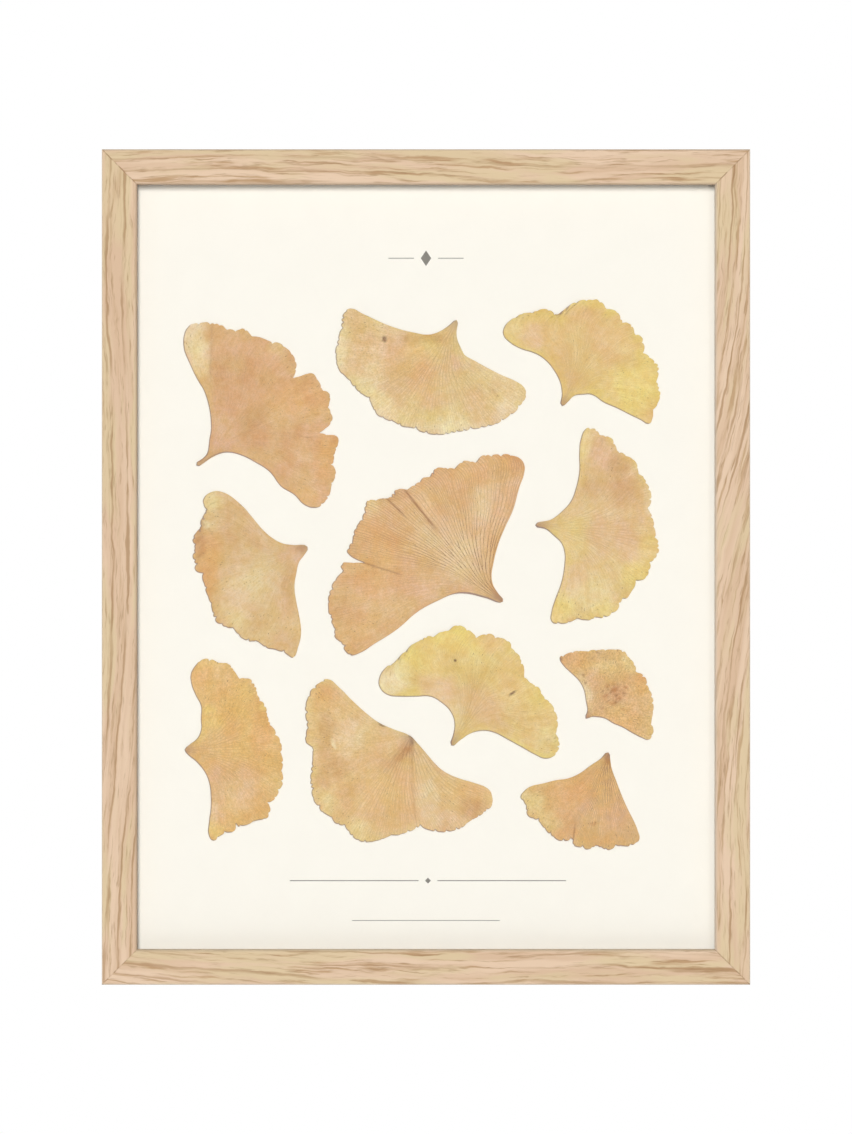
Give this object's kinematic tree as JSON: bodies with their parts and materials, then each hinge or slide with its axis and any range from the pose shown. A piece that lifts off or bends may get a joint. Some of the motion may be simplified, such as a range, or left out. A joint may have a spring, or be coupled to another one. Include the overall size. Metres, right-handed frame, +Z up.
{
  "type": "framed pressed ginkgo leaves",
  "caption": "Small upright oak picture frame with a clear pane over an off-white sheet that carries pressed, dried ginkgo leaves; hangs on a wall.",
  "frame": {"origin": "middle of the frame's width and depth, at its bottom edge", "axes": "+X to the right seen from the front, +Y to the back and the wall, +Z up; the leaves face -Y"},
  "size_m": [0.1982, 0.016, 0.2554],
  "materials": {
    "oak": "light oak, sanded and oiled matt",
    "pane": "clear float glass",
    "card": "off-white uncoated card",
    "leaf": "pressed, dried leaf, matt",
    "hardboard": "brown hardboard",
    "steel": "plated sheet steel"
  },
  "bodies": {
    "root": {"rail_top": "oak", "rail_bottom": "oak", "rail_left": "oak", "rail_right": "oak", "glass_pane": "pane", "sheet": "card", "backing_board": "hardboard", "leaf_top_left": "leaf", "leaf_top_middle": "leaf", "leaf_top_right": "leaf", "leaf_middle_left": "leaf", "leaf_centre": "leaf", "leaf_middle_right": "leaf", "leaf_lower_centre": "leaf", "leaf_small_right": "leaf", "leaf_bottom_left": "leaf", "leaf_bottom_middle": "leaf", "leaf_bottom_right": "leaf", "point_top_1": "steel", "point_top_2": "steel", "point_bottom_1": "steel", "point_bottom_2": "steel", "point_left_1": "steel", "point_left_2": "steel", "point_right_1": "steel", "point_right_2": "steel", "hanger": "steel", "rivet_left": "steel", "rivet_right": "steel"}
  },
  "joints": []
}
